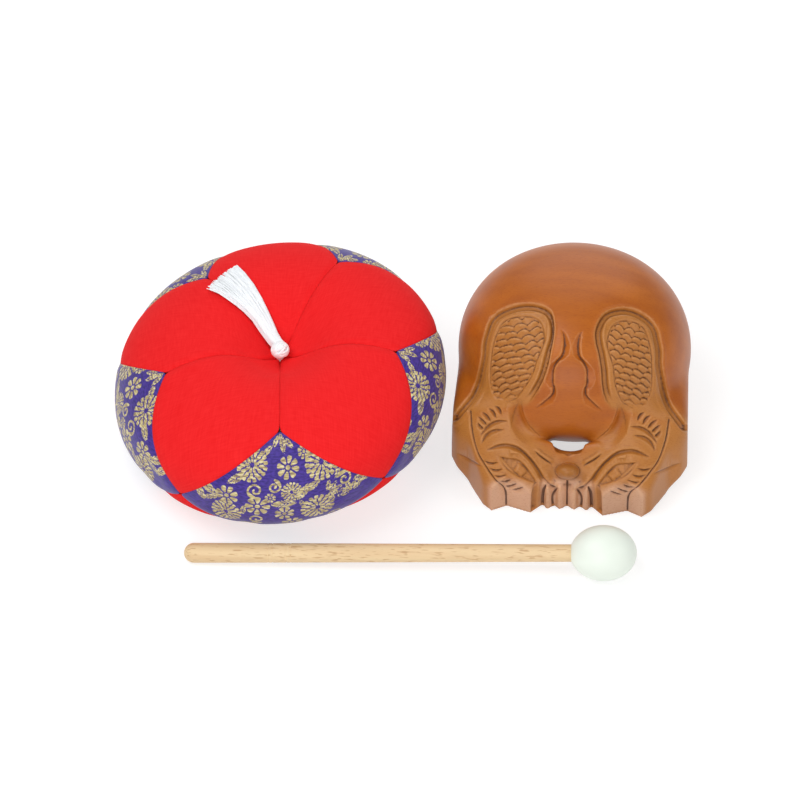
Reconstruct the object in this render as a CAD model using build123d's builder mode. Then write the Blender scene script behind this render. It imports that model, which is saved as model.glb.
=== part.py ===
"""Mokugyo set: a carved wooden fish bell, the stuffed cushion it is played on, and its striker.

Millimetres, +Z up. The origin is the middle of the bell's flat foot, and the handle points to -Y.
The three things stand apart on one table, as they are laid out for sale.
"""

import os
from math import asin, atan2, cos, degrees, exp, hypot, radians, sin, sqrt, tan

from build123d import *

# Bell: one block of wood, turned round, narrowed front to back and hollowed through its mouth
BELL_WIDTH = 102.5
BELL_DEPTH = 94.0
BELL_EQUATOR = 38.0
BELL_CROWN = 43.0
BELL_BELLY = 39.5
CROWN_SQUARENESS = 2.4
BELLY_SQUARENESS = 2.1
BELL_WALL = 12.0
CROWN_SHARES = (0, 0.3, 0.6, 0.8, 0.92, 0.98)
BELLY_SHARES = (0.35, 0.65, 0.85, 0.95, 1)

# Mouth: a saw slit round the back, ending in a drilled hole at each side
MOUTH_HEIGHT = 27.0
MOUTH_GAP = 5.5
MOUTH_HOLE = 11.0
MOUTH_HOLE_BACK = 8.0

# Handle: two dragon heads that meet round a pearl, with finger room behind them
HANDLE_REACH = 63.0
HANDLE_ROOT = 40.0
CHEEK_HALF_WIDTH = 52.0
CHEEK_TUCK = 1.5
CHEEK_BACK = 4.0
CHEEK_LIFT = 9.0
CHEEK_EDGE = 4.0
RIDGE_OUT = 27.0
RIDGE_FRONT = 15.0
RIDGE_ROOT = 46.0
VALLEY_DROP = 4.0
CHEEK_DROP = 7.0
ARM_TOE = 47.0
ARM_HEEL_LIFT = 28.0
FINGER_HALF_WIDTH = 17.0
FINGER_REACH = 44.5
FINGER_HALF_DEPTH = 12.0
FINGER_FLARE = 12.0
PEARL_DIAMETER = 10.5
PEARL_BACK = 6.0
PEARL_SUNK = 2.4

# Jaws seen from above: sideways from the middle, and back from the foremost edge
TOOTH_PITCH = 5.4
TOOTH_DEPTH = 2.4
TOOTH_TIP = 3.24
TEETH_BACK = 2.5
JAW_OUTLINE = ((16.0, 0.0), (26.5, 3.5), (33.0, 0.0), (37.0, 3.0), (40.0, 8.5), (44.0, 16.0), (49.5, 19.0))

# Scale panels: drawn square to a view from in front and above, sideways and up from the body's middle
CARVING_TILT = 47.0
MOAT_WIDTH = 2.8
MOAT_DEPTH = 1.6
MOAT_OUTLINE = (
    (18.8, -24.7),
    (14.1, -15.2),
    (11.9, -0.9),
    (10.0, 9.4),
    (15.2, 18.2),
    (25.8, 19.5),
    (35.3, 14.1),
    (38.6, 6.5),
    (39.9, -4.5),
    (42.3, -16.3),
    (54.0, -33.0),
)

# Cushion: cloth panels sewn round a cotton filling, drawn in at the middle by a cord
CUSHION_AT = (-128.5, -22.0)
CUSHION_DIAMETER = 144.5
CUSHION_HEIGHT = 66.0
CUSHION_SQUARENESS = 2.5
TUFT_DEPTH = 16.0
TUFT_SPREAD = 22.0
BASE_TUFT_DEPTH = 10.5
BASE_TUFT_SPREAD = 14.0
CUSHION_SHARES = (0, 0.15, 0.3, 0.45, 0.6, 0.75, 0.87, 0.95, 0.99)
SEAM_HEADINGS = (-86.6, -7.6, 63.8, 131.8, 198.4)
SEAM_CORNER = 53.5
TIP_DROP = 5.0
LEAN_SLOPE = 0.1
LEAN_HEADING = 20.0
COVER_THICKNESS = 2.5
SEAT_FLAT = 1.5
SEAM_BEVEL = 1.0
FILLING_CLEARANCE = 0.6
TIE_DIAMETER = 3.0
TIE_CLEARANCE = 0.3
KNOT_DIAMETER = 8.0
GATHER_HOLE = 6.8
KNOT_SEAT = 0.4
KNOT_CLEARANCE = 0.3

# Tassel: threads bound at the neck, lying over the cushion's shoulder along one seam
TASSEL_SEAM = 3
TASSEL_REACH = 43.0
TASSEL_NECK = 4.6
TASSEL_SPREAD = 18.0
TASSEL_THICKNESS = 4.0
TASSEL_LIE = 0.8
TASSEL_EDGE = 1.8
TASSEL_SECTIONS = 5

# Striker: a turned beech stick in an egg-shaped rubber head
STRIKER_HEAD_AT = (18.0, -96.5)
STRIKER_TURN = 1.0
STRIKER_LENGTH = 199.0
STICK_BUTT = 8.8
STICK_NECK = 7.7
HEAD_LENGTH = 29.5
HEAD_DIAMETER = 24.7
TENON_DIAMETER = 6.0
TENON_LENGTH = 17.0
TENON_CLEARANCE = 0.05

os.makedirs("parts", exist_ok=True)


def save(node, name):
    """Label a finished piece and write it to its own file."""
    node.part.label = name
    export_step(node.part, f"parts/{name}.step")


# Bell


def squared_arc(half_width, half_height, squareness, shares):
    """Points of a superellipse quarter: shares run from 0 at the equator to 1 at the pole."""
    return [
        (half_width * (1 - share**squareness) ** (1 / squareness), half_height * share)
        for share in shares
    ]


def turned_body(inset):
    """Round body with its whole surface set in, as turned and then narrowed front to back."""
    half_width = BELL_WIDTH / 2 - inset
    crown = squared_arc(half_width, BELL_CROWN - inset, CROWN_SQUARENESS, CROWN_SHARES)
    foot_share = BELL_EQUATOR / BELL_BELLY
    belly_shares = [foot_share * share for share in BELLY_SHARES]
    belly = squared_arc(half_width, BELL_BELLY - inset, BELLY_SQUARENESS, belly_shares)
    outline = [(x, BELL_EQUATOR - z) for x, z in reversed(belly)]
    outline += [(x, BELL_EQUATOR + z) for x, z in crown]
    outline += [(0, BELL_EQUATOR + BELL_CROWN - inset)]
    with BuildPart() as blank:
        with BuildSketch(Plane.YZ):
            with BuildLine():
                side = Spline(*outline)
                Polyline(side @ 1, (0, (side @ 0).Y), side @ 0)
            make_face()
        revolve(axis=Axis.Z, revolution_arc=180)
        scale(by=(1, (BELL_DEPTH / 2 - inset) / half_width, 1))
        mirror(about=Plane.YZ)
    return blank.part


roof_pitch = atan2(RIDGE_ROOT - RIDGE_FRONT, HANDLE_REACH - HANDLE_ROOT)


def ridge_height(reach):
    """Height of the handle's two ridges on the slope from the body down to the jaws."""
    return RIDGE_FRONT + (HANDLE_REACH - reach) * tan(roof_pitch)


def handle_block(inset):
    """The two heads as one block: their outline from above under a roof of two ridges, which is set in."""
    tooth_reach = HANDLE_REACH - TEETH_BACK
    teeth = [(0, tooth_reach - TOOTH_DEPTH)]
    for tooth in (0, 1):
        root = tooth * TOOTH_PITCH
        teeth += [(root + TOOTH_TIP, tooth_reach), (root + TOOTH_PITCH, tooth_reach - TOOTH_DEPTH)]
    jaws = [(out, HANDLE_REACH - back) for out, back in JAW_OUTLINE]
    cheek = [(CHEEK_HALF_WIDTH, HANDLE_ROOT), (CHEEK_HALF_WIDTH - CHEEK_TUCK, CHEEK_BACK), (0, CHEEK_BACK)]
    half_outline = [(out, -reach) for out, reach in teeth + jaws + cheek]
    half_roof = [(CHEEK_HALF_WIDTH + CHEEK_DROP, -2 * CHEEK_DROP)]
    half_roof += [(CHEEK_HALF_WIDTH - CHEEK_EDGE, -CHEEK_DROP), (RIDGE_OUT, 0)]
    roof = half_roof + [(0, -VALLEY_DROP)] + [(-x, z) for x, z in reversed(half_roof)]
    roof = [(x, z - inset) for x, z in roof]
    downhill = (0, -cos(roof_pitch), -sin(roof_pitch))
    slope = Plane(origin=(0, -HANDLE_REACH, RIDGE_FRONT), x_dir=(1, 0, 0), z_dir=downhill)
    shelf = Plane(origin=(0, 0, RIDGE_ROOT), x_dir=(1, 0, 0), z_dir=(0, -1, 0))
    with BuildPart() as block:
        with BuildSketch():
            with BuildLine():
                Polyline(*half_outline, close=True)
            make_face()
            mirror(about=Plane.YZ)
        extrude(amount=BELL_EQUATOR + BELL_CROWN)
        for plane in (slope, shelf):
            with BuildSketch(plane):
                with BuildLine():
                    crest = Spline(*roof)
                    Polyline(crest @ 1, ((crest @ 1).X, -BELL_WIDTH), ((crest @ 0).X, -BELL_WIDTH), crest @ 0)
                make_face()
            extrude(amount=BELL_WIDTH, both=True, mode=Mode.INTERSECT)
        for height in (0, BELL_EQUATOR + BELL_CROWN):
            flare = height * tan(radians(FINGER_FLARE))
            with BuildSketch(Plane.XY.offset(height)):
                with BuildLine():
                    front = EllipticalCenterArc(
                        (0, FINGER_HALF_DEPTH - FINGER_REACH),
                        FINGER_HALF_WIDTH + flare,
                        FINGER_HALF_DEPTH + flare,
                        start_angle=180,
                        arc_size=180,
                    )
                    Polyline(front @ 1, ((front @ 1).X, 0), ((front @ 0).X, 0), front @ 0)
                make_face()
        loft(ruled=True, mode=Mode.SUBTRACT)
        with BuildSketch(Plane.YZ):
            Polygon((-ARM_TOE, 0), (0, 0), (0, ARM_HEEL_LIFT), align=None)
        extrude(amount=BELL_WIDTH, both=True, mode=Mode.SUBTRACT)
        with BuildSketch(Plane.XZ):
            with BuildLine():
                corner = CHEEK_HALF_WIDTH - CHEEK_LIFT
                Polyline((corner, 0), (BELL_WIDTH, 0), (BELL_WIDTH, BELL_WIDTH - corner), close=True)
            make_face()
            mirror(about=Plane.YZ)
        extrude(amount=2 * HANDLE_REACH, mode=Mode.SUBTRACT)
    return block.part


def moat():
    """What is cut away round the two scale panels: an even layer of the surface along their outlines."""
    count = len(MOAT_OUTLINE)
    inner = []
    for index, (out, up) in enumerate(MOAT_OUTLINE):
        before = MOAT_OUTLINE[max(index - 1, 0)]
        after = MOAT_OUTLINE[min(index + 1, count - 1)]
        way = Vector(after[0] - before[0], after[1] - before[1]).normalized()
        inner.append((out + MOAT_WIDTH * way.Y, up - MOAT_WIDTH * way.X))
    facing = (0, -cos(radians(CARVING_TILT)), sin(radians(CARVING_TILT)))
    view = Plane(origin=(0, 0, BELL_EQUATOR), x_dir=(1, 0, 0), z_dir=facing)
    with BuildPart() as band:
        with BuildSketch(view):
            with BuildLine():
                edge = Spline(*MOAT_OUTLINE)
                shore = Spline(*inner)
                Line(edge @ 0, shore @ 0)
                Line(edge @ 1, shore @ 1)
            make_face()
            mirror(about=Plane.YZ)
        extrude(amount=BELL_WIDTH)
        add(turned_body(MOAT_DEPTH), mode=Mode.SUBTRACT)
        add(handle_block(MOAT_DEPTH), mode=Mode.SUBTRACT)
    return band.part


pearl_reach = HANDLE_REACH - PEARL_BACK
pearl_height = ridge_height(pearl_reach) - VALLEY_DROP + PEARL_DIAMETER / 2 - PEARL_SUNK
with BuildPart() as bell_body:
    add(turned_body(0))
    add(handle_block(0))
    add(moat(), mode=Mode.SUBTRACT)
    with Locations((0, -pearl_reach, pearl_height)):
        Sphere(PEARL_DIAMETER / 2)
    add(turned_body(BELL_WALL), mode=Mode.SUBTRACT)
    with Locations((0, MOUTH_HOLE_BACK, MOUTH_HEIGHT)):
        Cylinder(MOUTH_HOLE / 2, 2 * BELL_WIDTH, rotation=(0, 90, 0), mode=Mode.SUBTRACT)
        Box(
            2 * BELL_WIDTH,
            BELL_DEPTH,
            MOUTH_GAP,
            align=(Align.CENTER, Align.MIN, Align.CENTER),
            mode=Mode.SUBTRACT,
        )
save(bell_body, "bell_body")

# Cushion

cushion_radius = CUSHION_DIAMETER / 2
cushion_middle = CUSHION_HEIGHT / 2


def cushion_face(radius, inset):
    """Height of the cushion's top and underside above and below its middle at a distance from the axis."""
    reach = min(radius / (cushion_radius - inset), 1)
    crown = (cushion_middle - inset) * (1 - reach**CUSHION_SQUARENESS) ** (1 / CUSHION_SQUARENESS)
    top = crown - TUFT_DEPTH * exp(-((radius / TUFT_SPREAD) ** 2))
    underside = crown - BASE_TUFT_DEPTH * exp(-((radius / BASE_TUFT_SPREAD) ** 2))
    return top, underside


def cushion_outline(inset):
    """Half of the cushion's upright section about its middle, with the surface set in."""
    radii = [share * (cushion_radius - inset) for share in CUSHION_SHARES]
    upper = [(radius, cushion_face(radius, inset)[0]) for radius in radii]
    lower = [(radius, -cushion_face(radius, inset)[1]) for radius in radii]
    rim = [(cushion_radius - inset, 0)]
    with BuildSketch() as section:
        with BuildLine():
            side = Spline(*lower, *rim, *reversed(upper), tangents=((1, 0), (-1, 0)))
            Line(side @ 1, side @ 0)
        make_face()
    return section.sketch


def heading(angle):
    """Level direction at an angle in degrees from +X."""
    return Vector(cos(radians(angle)), sin(radians(angle)), 0)


def upright_plane(angle):
    """Upright plane through the axis, on which sections are drawn outwards at an angle."""
    return Plane(origin=(0, 0, 0), x_dir=heading(angle), z_dir=heading(angle).cross(Vector(0, 0, 1)))


radii = [cushion_radius * step / 100 for step in range(100)]
depth_below = max(cushion_face(radius, 0)[1] + LEAN_SLOPE * radius for radius in radii)
middle_height = depth_below - SEAT_FLAT
cushion_place = Location((*CUSHION_AT, middle_height), (0, 0, LEAN_HEADING))
lean_press = sqrt(1 + LEAN_SLOPE**2 / 4) + LEAN_SLOPE / 2
lean_turn = degrees(atan2(2, LEAN_SLOPE)) / 2
seat = Plane(origin=(0, 0, -middle_height), z_dir=heading(LEAN_HEADING) * LEAN_SLOPE + Vector(0, 0, 1))


def leaned(part):
    """A piece of the cushion in its place, where the filling has slid and made one side higher."""
    with BuildPart() as pressed:
        add(part, rotation=(0, lean_turn, -LEAN_HEADING))
        scale(by=(lean_press, 1, 1 / lean_press))
    with BuildPart() as righted:
        add(pressed.part, rotation=(0, lean_turn - 90, 0))
    with BuildPart() as placed:
        with Locations(cushion_place):
            add(righted.part)
    return placed.part


def seam_plane(tip, corner, below):
    """Plane of a slanting seam, from a petal's tip at the rim to a corner on the crown or underside."""
    top, underside = cushion_face(SEAM_CORNER, 0)
    rise = -underside if below else top
    across = heading(corner) * SEAM_CORNER + Vector(0, 0, rise)
    normal = (heading(tip) * cushion_radius - Vector(0, 0, TIP_DROP)).cross(across)
    return Plane(origin=(0, 0, 0), z_dir=normal if normal.Z > 0 else -normal)


def sewn_panel(name, begin, end, planes):
    """One panel: the cover between two angles and above all the planes, bevelled into its seams."""
    with BuildPart() as piece:
        with BuildSketch(upright_plane(begin)):
            add(cushion_outline(0))
            add(cushion_outline(COVER_THICKNESS), mode=Mode.SUBTRACT)
            Rectangle(GATHER_HOLE, 3 * CUSHION_HEIGHT, mode=Mode.SUBTRACT)
        revolve(axis=Axis.Z, revolution_arc=end - begin)
        for plane in planes:
            split(bisect_by=plane, keep=Keep.TOP)
        sewn_edges = piece.faces().sort_by(SortBy.AREA)[-1].edges().sort_by(SortBy.LENGTH)[-4:]
        chamfer(sewn_edges, SEAM_BEVEL)
        split(bisect_by=seat, keep=Keep.TOP)
    with BuildPart() as panel:
        add(leaned(piece.part))
    save(panel, name)


def flipped(plane):
    """The same plane facing the other way."""
    return Plane(origin=plane.origin, z_dir=-plane.z_dir)


seams = len(SEAM_HEADINGS)
turns = list(SEAM_HEADINGS) + [SEAM_HEADINGS[0] + 360, SEAM_HEADINGS[1] + 360]
tips = [(turns[seam] + turns[seam + 1]) / 2 for seam in range(seams + 1)]
for seam in range(seams):
    first, tip, last = turns[seam], tips[seam], turns[seam + 1]
    crown_seams = [seam_plane(tip, first, False), seam_plane(tip, last, False)]
    seat_seams = [flipped(seam_plane(tip, first, True)), flipped(seam_plane(tip, last, True))]
    sewn_panel(f"top_petal_{seam + 1}", first, last, crown_seams)
    sewn_panel(f"base_petal_{seam + 1}", first, last, seat_seams)
    next_tip = tips[seam + 1]
    side = [flipped(seam_plane(end, last, False)) for end in (tip, next_tip)]
    side += [seam_plane(end, last, True) for end in (tip, next_tip)]
    sewn_panel(f"brocade_panel_{seam + 1}", tip, next_tip, side)

with BuildPart() as filling:
    with BuildSketch(upright_plane(0)):
        add(cushion_outline(COVER_THICKNESS + FILLING_CLEARANCE))
        Rectangle(TIE_DIAMETER + 2 * TIE_CLEARANCE, 3 * CUSHION_HEIGHT, mode=Mode.SUBTRACT)
    revolve(axis=Axis.Z, revolution_arc=180)
    mirror(about=Plane.XZ)
with BuildPart() as stuffing:
    add(leaned(filling.part))
save(stuffing, "stuffing")

tuft_floor = middle_height + cushion_face(0, 0)[0]
base_ceiling = middle_height - cushion_face(0, 0)[1]
knot_drop = KNOT_DIAMETER / 2 - KNOT_SEAT
knot_centre = (*CUSHION_AT, tuft_floor + KNOT_CLEARANCE + knot_drop)
base_knot_centre = (*CUSHION_AT, base_ceiling - KNOT_CLEARANCE - knot_drop)

with BuildPart() as tassel_knot:
    with Locations(knot_centre):
        Sphere(KNOT_DIAMETER / 2)
    split(bisect_by=Plane.XY.offset(knot_centre[2] - knot_drop), keep=Keep.TOP)
save(tassel_knot, "tassel_knot")

with BuildPart() as base_knot:
    with Locations(base_knot_centre):
        Sphere(KNOT_DIAMETER / 2)
    split(bisect_by=Plane.XY.offset(base_knot_centre[2] + knot_drop), keep=Keep.BOTTOM)
save(base_knot, "base_knot")

cord_foot = base_knot_centre[2] + knot_drop
with BuildPart() as tie_cord:
    with BuildSketch(Plane.XY.offset(cord_foot)):
        with Locations(CUSHION_AT):
            Circle(TIE_DIAMETER / 2)
    extrude(amount=knot_centre[2] - knot_drop - cord_foot)
save(tie_cord, "tie_cord")

# Tassel

along = heading(SEAM_HEADINGS[TASSEL_SEAM])
aside = Vector(0, 0, 1).cross(along)


def crown_height(reach, side):
    """Height of the leaning crown above the cushion's middle, along and beside the tassel."""
    lean = LEAN_SLOPE * (along * reach + aside * side).dot(heading(LEAN_HEADING))
    return cushion_face(hypot(reach, side), 0)[0] + lean


neck_start = KNOT_DIAMETER / 2 + KNOT_CLEARANCE
with BuildPart() as tassel_skirt:
    for step in range(TASSEL_SECTIONS):
        share = step / (TASSEL_SECTIONS - 1)
        reach = neck_start + (TASSEL_REACH - neck_start) * share
        width = TASSEL_NECK + (TASSEL_SPREAD - TASSEL_NECK) * share
        thickness = TASSEL_NECK + (TASSEL_THICKNESS - TASSEL_NECK) * share
        rest = max(crown_height(reach, side) for side in (-width / 2, 0, width / 2))
        lift = middle_height + rest + TASSEL_LIE + thickness / 2
        origin = Vector(*CUSHION_AT, lift) + along * reach
        with BuildSketch(Plane(origin=origin, x_dir=(0, 0, 1), z_dir=along)):
            RectangleRounded(thickness, width, TASSEL_EDGE)
    loft()
save(tassel_skirt, "tassel_skirt")

# Striker

butt_radius = STICK_BUTT / 2
head_radius = HEAD_DIAMETER / 2
head_at = STRIKER_LENGTH - HEAD_LENGTH / 2
tilt = asin((head_radius - butt_radius) / (head_at - butt_radius))
level = heading(STRIKER_TURN)
stick_way = level * cos(tilt) + Vector(0, 0, sin(tilt))
head_low = sqrt((HEAD_LENGTH / 2 * sin(tilt)) ** 2 + (head_radius * cos(tilt)) ** 2)
head_centre = Vector(*STRIKER_HEAD_AT, head_low)
butt_end = head_centre - stick_way * head_at
striker_plane = Plane(origin=butt_end, x_dir=stick_way, z_dir=level.cross(Vector(0, 0, 1)))
striker_axis = Axis(butt_end, stick_way)
shoulder = head_at - HEAD_LENGTH / 2 * sqrt(1 - (STICK_NECK / HEAD_DIAMETER) ** 2)
tenon_end = shoulder + TENON_LENGTH
neck_radius = STICK_NECK / 2
tenon_radius = TENON_DIAMETER / 2

with BuildPart() as striker_handle:
    with BuildSketch(striker_plane):
        with BuildLine():
            end = CenterArc((butt_radius, 0), butt_radius, 90, 90)
            Polyline(
                end @ 0,
                (shoulder, neck_radius),
                (shoulder, tenon_radius),
                (tenon_end, tenon_radius),
                (tenon_end, 0),
                end @ 1,
            )
        make_face()
    revolve(axis=striker_axis)
save(striker_handle, "striker_handle")

bore_radius = tenon_radius + TENON_CLEARANCE
bore_end = tenon_end + TENON_CLEARANCE
with BuildPart() as striker_head:
    with BuildSketch(striker_plane):
        with Locations((head_at, 0)):
            Ellipse(HEAD_LENGTH / 2, head_radius)
        with Locations((shoulder, 0)):
            Rectangle(HEAD_LENGTH * 2, HEAD_DIAMETER, align=(Align.MIN, Align.MIN), mode=Mode.INTERSECT)
        with Locations((0, 0)):
            Rectangle(bore_end, bore_radius, align=(Align.MIN, Align.MIN), mode=Mode.SUBTRACT)
    revolve(axis=striker_axis)
save(striker_head, "striker_head")
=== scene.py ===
from contextlib import contextmanager
from math import cos, hypot, pi, radians, sin, sqrt

import bpy
import numpy as np
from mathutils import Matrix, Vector


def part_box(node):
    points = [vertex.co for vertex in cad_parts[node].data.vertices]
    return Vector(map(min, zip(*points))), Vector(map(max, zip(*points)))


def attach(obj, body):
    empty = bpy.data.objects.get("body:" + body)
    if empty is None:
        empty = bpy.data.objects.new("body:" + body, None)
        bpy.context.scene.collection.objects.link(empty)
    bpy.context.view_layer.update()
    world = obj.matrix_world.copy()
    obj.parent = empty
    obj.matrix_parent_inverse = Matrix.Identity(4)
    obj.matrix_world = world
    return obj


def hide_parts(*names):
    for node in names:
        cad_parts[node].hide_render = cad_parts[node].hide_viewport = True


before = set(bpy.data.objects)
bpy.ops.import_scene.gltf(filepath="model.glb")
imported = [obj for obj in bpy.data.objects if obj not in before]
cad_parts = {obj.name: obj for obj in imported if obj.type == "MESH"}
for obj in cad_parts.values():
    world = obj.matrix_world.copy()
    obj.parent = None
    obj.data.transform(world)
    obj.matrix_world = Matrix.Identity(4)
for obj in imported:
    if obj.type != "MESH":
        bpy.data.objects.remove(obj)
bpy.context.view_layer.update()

MM = 0.001
WELD = 0.002

# Modelling helpers


def pick(piece=None):
    """Make a piece the only selected and active one, or deselect all."""
    bpy.ops.object.select_all(action="DESELECT")
    if piece:
        piece.select_set(True)
        bpy.context.view_layer.objects.active = piece


def named(name):
    """Name the piece that an operator has just added."""
    piece = bpy.context.active_object
    piece.name = name
    piece.data.name = name
    return piece


def points_of(piece):
    """The piece's points in millimetres, one row each."""
    flat = np.empty(len(piece.data.vertices) * 3, np.float32)
    piece.data.vertices.foreach_get("co", flat)
    return flat.reshape(-1, 3).astype(float) / MM


def set_points(piece, points):
    """Move the piece's points, given in millimetres."""
    piece.data.vertices.foreach_set("co", (points * MM).astype(np.float32).ravel())
    piece.data.update()


def normals_of(piece):
    """The piece's point normals, one row each."""
    flat = np.empty(len(piece.data.vertices) * 3, np.float32)
    piece.data.vertex_normals.foreach_get("vector", flat)
    return flat.reshape(-1, 3).astype(float)


def shape(piece, kind, **settings):
    """Add a modifier with its settings and apply it."""
    pick(piece)
    modifier = piece.modifiers.new(kind.title(), kind)
    for setting, value in settings.items():
        setattr(modifier, setting, value)
    bpy.ops.object.modifier_apply(modifier=modifier.name)


@contextmanager
def editing(piece):
    """Edit mode, with the whole piece selected."""
    pick(piece)
    bpy.ops.object.mode_set(mode="EDIT")
    bpy.ops.mesh.select_all(action="SELECT")
    yield
    bpy.ops.object.mode_set(mode="OBJECT")


def copied(source):
    """A copy of a piece, with a mesh of its own."""
    piece = source.copy()
    piece.data = source.data.copy()
    bpy.context.scene.collection.objects.link(piece)
    return piece


def join(piece, *others):
    """Join other pieces to a piece."""
    pick(piece)
    for other in others:
        other.select_set(True)
    bpy.ops.object.join()


def shade_smooth(piece):
    pick(piece)
    bpy.ops.object.shade_smooth()


def store(piece, name, values):
    """Keep one number for each point, for the material to read."""
    layer = piece.data.attributes.new(name, "FLOAT", "POINT")
    layer.data.foreach_set("value", values.astype(np.float32))


def ease(low, high, value):
    """Smooth step from 0 at low to 1 at high."""
    share = np.clip((value - low) / (high - low), 0, 1)
    return share * share * (3 - 2 * share)


class Neighbours:
    """Averages over the points joined to each point by an edge."""

    def __init__(self, piece):
        ends = np.empty(len(piece.data.edges) * 2, np.int32)
        piece.data.edges.foreach_get("vertices", ends)
        self.first, self.second = ends.reshape(-1, 2).T
        self.count = len(piece.data.vertices)
        self.share = sum(np.bincount(end, minlength=self.count) for end in (self.first, self.second))

    def mean(self, values, times=1):
        """The neighbours' mean in place of each value, a number of times over."""
        for _ in range(times):
            columns = values.reshape(self.count, -1)
            sums = [
                np.bincount(self.first, columns[self.second, c], self.count)
                + np.bincount(self.second, columns[self.first, c], self.count)
                for c in range(columns.shape[1])
            ]
            values = (np.stack(sums, 1) / self.share[:, None]).reshape(values.shape)
        return values


# Materials


def linear(colour):
    """An sRGB hex colour as linear red, green, blue and alpha."""
    parts = [int(colour[i : i + 2], 16) / 255 for i in (1, 3, 5)]
    return [p / 12.92 if p <= 0.04045 else ((p + 0.055) / 1.055) ** 2.4 for p in parts] + [1]


def add(material, kind, inputs=None, stops=(), out=0, **settings):
    """Add a shader node of a kind, such as TexNoise, with its settings, its input values or links and, on a
    ramp, its stops of place and hex colour. Gives one of the node's outputs."""
    node = material.node_tree.nodes.new("ShaderNode" + kind)
    for setting, value in settings.items():
        setattr(node, setting, value)
    while stops and len(node.color_ramp.elements) < len(stops):
        node.color_ramp.elements.new(0.5)
    for stop, (position, colour) in enumerate(stops):
        node.color_ramp.elements[stop].position = position
        node.color_ramp.elements[stop].color = linear(colour)
    for socket, value in (inputs or {}).items():
        if isinstance(value, bpy.types.NodeSocket):
            material.node_tree.links.new(value, node.inputs[socket])
        else:
            node.inputs[socket].default_value = value
    return node.outputs[out] if len(node.outputs) else None


def new_material(name):
    material = bpy.data.materials.new(name)
    material.use_nodes = True
    material.node_tree.nodes.clear()
    return material


def finish_material(material, **inputs):
    """Close a material with its surface shader."""
    sockets = {name.replace("_", " "): value for name, value in inputs.items()}
    add(material, "OutputMaterial", {"Surface": add(material, "BsdfPrincipled", sockets)})
    return material


def object_mm(material, scale):
    """Object coordinates divided by a size in millimetres along each axis."""
    place = add(material, "TexCoord", out="Object")
    return add(material, "Mapping", {"Vector": place, "Scale": [1 / (MM * size) for size in scale]})


def cloth_uv(material, scale):
    """The piece's own unrolled coordinates, which are in millimetres, divided by a size."""
    sewn = add(material, "UVMap", uv_map="unrolled")
    return add(material, "Mapping", {"Vector": sewn, "Scale": [1 / size for size in scale] + [1]})


def carved_wood():
    """Stained and waxed hardwood: deep warm brown where it was turned and polished, duller where a knife has
    cut it, palest on saw-cut ends, partly their own paler wood and partly painted highlight, with painted
    shade in the cuts and creases, partly stain pooled there, painted highlight on ridges and rims, short fine
    pores along the grain and a soft waxy bloom."""
    m = new_material("waxed_hardwood")
    rings = add(m, "TexNoise", {"Vector": object_mm(m, (60, 9, 9)), "Scale": 1, "Detail": 3})
    stained = add(m, "ValToRGB", {"Fac": rings}, [(0.3, "#A4530A"), (0.7, "#B66210")])
    # Knife-cut places are duller and paler; the saw-cut faces that look to the front are paler still, partly
    # their own paler wood and partly painted highlight.
    worked_and_lit = add(m, "Attribute", attribute_name="worked_and_lit", out="Fac")
    fresh_and_lit = add(m, "ValToRGB", {"Fac": worked_and_lit}, [(0.5, "#B0702F"), (1.0, "#CFA080")])
    amount = add(m, "MapRange", {"Value": worked_and_lit, "From Max": 0.5})
    wood = add(m, "Mix", {0: amount, 6: stained, 7: fresh_and_lit}, data_type="RGBA", out=2)
    pores = add(m, "TexNoise", {"Vector": object_mm(m, (2.0, 0.45, 0.45)), "Scale": 1, "Detail": 2})
    mark = add(m, "ValToRGB", {"Fac": pores}, [(0.32, "#CFA37E"), (0.48, "#FFFFFF")])
    shaded = {0: 0.3, 6: wood, 7: mark}
    grained = add(m, "Mix", shaded, data_type="RGBA", blend_type="MULTIPLY", out=2)
    carving = add(m, "Attribute", attribute_name="carving", out="Fac")
    # Painted shade: concave cuts and creases are darkened towards deep brown, partly for stain pooled in
    # them.
    cut = add(m, "MapRange", {"Value": carving, "From Min": 0.1, "From Max": 0.75, "To Max": 0.85})
    dark = add(m, "Mix", {0: cut, 6: grained, 7: linear("#4A2408")}, data_type="RGBA", out=2)
    # Painted highlight: convex ridges and rims are lightened towards pale tan, partly where they are worn
    # pale.
    wear_and_highlight = add(m, "MapRange", {"Value": carving, "From Min": -0.1, "From Max": -0.6, "To Max": 0.3})
    worn_and_highlighted = add(m, "Mix", {0: wear_and_highlight, 6: dark, 7: linear("#D89E66")}, data_type="RGBA", out=2)
    bump = add(m, "Bump", {"Height": pores, "Strength": 0.1, "Distance": 0.1 * MM})
    return finish_material(
        m, Base_Color=worn_and_highlighted, Roughness=0.4, IOR=1.5, Specular_IOR_Level=0.38, Sheen_Weight=0.09,
        Sheen_Roughness=0.35, Sheen_Tint=linear("#FFF0F4"), Normal=bump,
    )


def red_cloth():
    """Plain-woven red cotton: flat strong red, a fine thread grid and a faint nap. The threads are drawn at
    0.7 mm, coarser than real ones, so that they show."""
    m = new_material("red_cotton")
    warp = add(m, "TexNoise", {"Vector": cloth_uv(m, (0.7, 7)), "Scale": 1, "Detail": 1})
    weft = add(m, "TexNoise", {"Vector": cloth_uv(m, (7, 0.7)), "Scale": 1, "Detail": 1})
    weave = add(m, "Math", {0: warp, 1: weft}, operation="ADD")
    half = add(m, "Math", {0: weave, 1: 0.5}, operation="MULTIPLY")
    colour = add(m, "ValToRGB", {"Fac": half}, [(0.3, "#E4181C"), (0.7, "#EC2628")])
    bump = add(m, "Bump", {"Height": half, "Strength": 0.08, "Distance": 0.2 * MM})
    return finish_material(
        m, Base_Color=colour, Roughness=0.85, Specular_IOR_Level=0.12, Sheen_Weight=0.08, Sheen_Roughness=0.5,
        Sheen_Tint=linear("#FF8A80"), Normal=bump,
    )


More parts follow.
